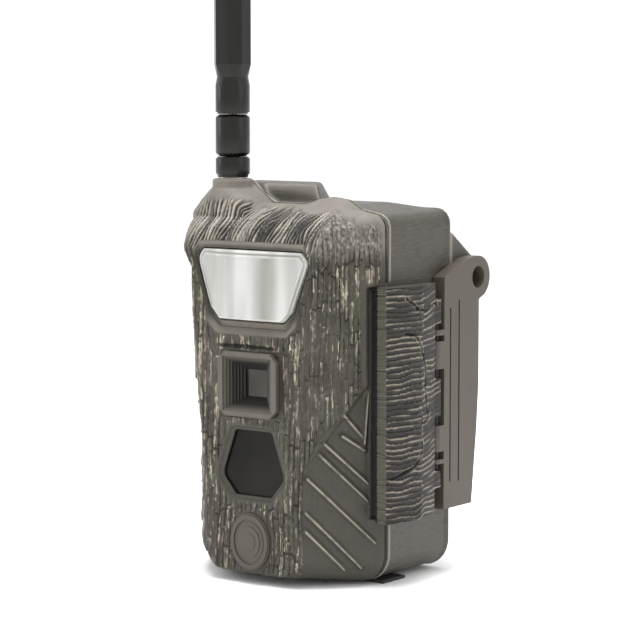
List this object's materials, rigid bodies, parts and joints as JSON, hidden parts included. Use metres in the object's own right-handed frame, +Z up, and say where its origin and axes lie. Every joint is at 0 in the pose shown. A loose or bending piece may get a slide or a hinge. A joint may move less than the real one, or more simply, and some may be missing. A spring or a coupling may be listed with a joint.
{
  "type": "trail camera",
  "caption": "Box-shaped battery camera for watching wildlife: hinged two-shell case with a side draw latch, sensor window, recessed lens, infrared window, whip antenna and tree bracket.",
  "frame": {"origin": "mouth of the tripod socket, in the middle of the case's underside", "axes": "+Z up along the antenna, +X towards the latch side, the lens looks along -Y"},
  "size_m": [0.0948, 0.0852, 0.3292],
  "materials": {
    "case": "moulded grey-brown plastic with a fine matt texture",
    "bark": "moulded grey-brown plastic with a deep bark relief",
    "bark_cover": "darker moulded bark relief",
    "trim": "smooth grey-brown plastic",
    "sensor_window": "milky ribbed plastic lens",
    "dark_window": "dark infrared-pass plastic",
    "clear_window": "coated clear window",
    "antenna_plastic": "satin black plastic",
    "rubber": "soft black rubber",
    "steel": "turned steel",
    "brass": "machined brass",
    "nickel": "nickel-plated sheet and wire",
    "board": "green solder mask",
    "black_plastic": "black plastic",
    "pale_plastic": "pale plastic",
    "silicon": "image sensor die under glass",
    "lamp_epoxy": "smoky epoxy domes",
    "screen_glass": "dark display glass",
    "cell_wrap": "plain printed sleeve over a steel can"
  },
  "bodies": {
    "rear_case": {"rear_shell": "case", "hinge_pin": "steel", "tripod_insert": "brass", "power_jack": "black_plastic", "battery_tray": "black_plastic", "front_cells": "cell_wrap", "rear_cells": "cell_wrap", "contact_plates": "nickel", "contact_springs": "nickel", "tree_bracket": "case", "bracket_screws": "steel", "lever_pin": "steel"},
    "front_case": {"front_shell": "bark", "seal": "rubber", "sensor_lens": "sensor_window", "lens_frame": "trim", "lens_window": "clear_window", "lamp_window": "dark_window", "badge": "trim", "antenna_socket": "brass", "antenna_locknut": "nickel", "antenna_lead": "rubber", "antenna_barrel": "antenna_plastic", "antenna_core": "brass", "main_board": "board", "modem_shield": "nickel", "motion_sensor": "nickel", "microphone": "black_plastic", "lens_barrel": "black_plastic", "lens_element": "clear_window", "lens_holder": "black_plastic", "image_sensor": "silicon", "lamp_board": "board", "lamps": "lamp_epoxy", "lamp_spacers": "brass", "screen": "screen_glass", "inner_panel": "black_plastic", "panel_screws": "steel", "board_screws": "steel", "button_switches": "black_plastic", "power_switch": "black_plastic", "memory_card": "black_plastic", "card_socket": "nickel", "sim_holder": "nickel", "sim_card": "pale_plastic", "power_pins": "brass"},
    "lever": {"latch_lever": "trim"},
    "hook": {"latch_hook": "bark_cover", "hook_pin": "steel"},
    "nut": {"antenna_nut": "antenna_plastic"},
    "whip": {"antenna_whip": "antenna_plastic"},
    "knob": {"power_knob": "pale_plastic"},
    "jack_flap": {"jack_cover": "rubber"},
    "button_1": {"menu_button_1": "black_plastic"},
    "button_2": {"menu_button_2": "black_plastic"},
    "button_3": {"menu_button_3": "black_plastic"},
    "button_4": {"menu_button_4": "black_plastic"},
    "button_5": {"menu_button_5": "black_plastic"}
  },
  "joints": [
    {"name": "door_hinge", "type": "hinge", "parent": "rear_case", "child": "front_case", "pos_m": [-0.0434, -0.0192, 0.088], "axis": [0, 0, -1], "range_deg": [0, 110]},
    {"name": "latch_lever_pivot", "type": "hinge", "parent": "rear_case", "child": "lever", "pos_m": [0.0433, -0.006, 0.064], "axis": [0, 0, -1], "range_deg": [0, 95]},
    {"name": "latch_hook_pivot", "type": "hinge", "parent": "lever", "child": "hook", "pos_m": [0.0444, 0.005, 0.064], "axis": [0, 0, -1], "range_deg": [-95, 0]},
    {"name": "antenna_nut_turn", "type": "hinge", "parent": "front_case", "child": "nut", "pos_m": [-0.0215, -0.028, 0.145], "axis": [0, 0, 1], "continuous": true},
    {"name": "antenna_swivel", "type": "hinge", "parent": "front_case", "child": "whip", "pos_m": [-0.0215, -0.028, 0.17], "axis": [0, 0, 1], "continuous": true},
    {"name": "power_knob_slide", "type": "slide", "parent": "front_case", "child": "knob", "axis": [0, 0, 1], "range_m": [0, 0.004]},
    {"name": "jack_flap_hinge", "type": "hinge", "parent": "rear_case", "child": "jack_flap", "pos_m": [0.0305, -0.0048, -0.00065], "axis": [1, 0, 0], "range_deg": [0, 100]},
    {"name": "menu_button_1_press", "type": "slide", "parent": "front_case", "child": "button_1", "axis": [0, -1, 0], "range_m": [0, 0.0008], "stiffness_N_per_m": 600},
    {"name": "menu_button_2_press", "type": "slide", "parent": "front_case", "child": "button_2", "axis": [0, -1, 0], "range_m": [0, 0.0008], "stiffness_N_per_m": 600},
    {"name": "menu_button_3_press", "type": "slide", "parent": "front_case", "child": "button_3", "axis": [0, -1, 0], "range_m": [0, 0.0008], "stiffness_N_per_m": 600},
    {"name": "menu_button_4_press", "type": "slide", "parent": "front_case", "child": "button_4", "axis": [0, -1, 0], "range_m": [0, 0.0008], "stiffness_N_per_m": 600},
    {"name": "menu_button_5_press", "type": "slide", "parent": "front_case", "child": "button_5", "axis": [0, -1, 0], "range_m": [0, 0.0008], "stiffness_N_per_m": 600}
  ],
  "couplings": [
    {"joint": "latch_hook_pivot", "follows": "latch_lever_pivot", "ratio": -1}
  ]
}
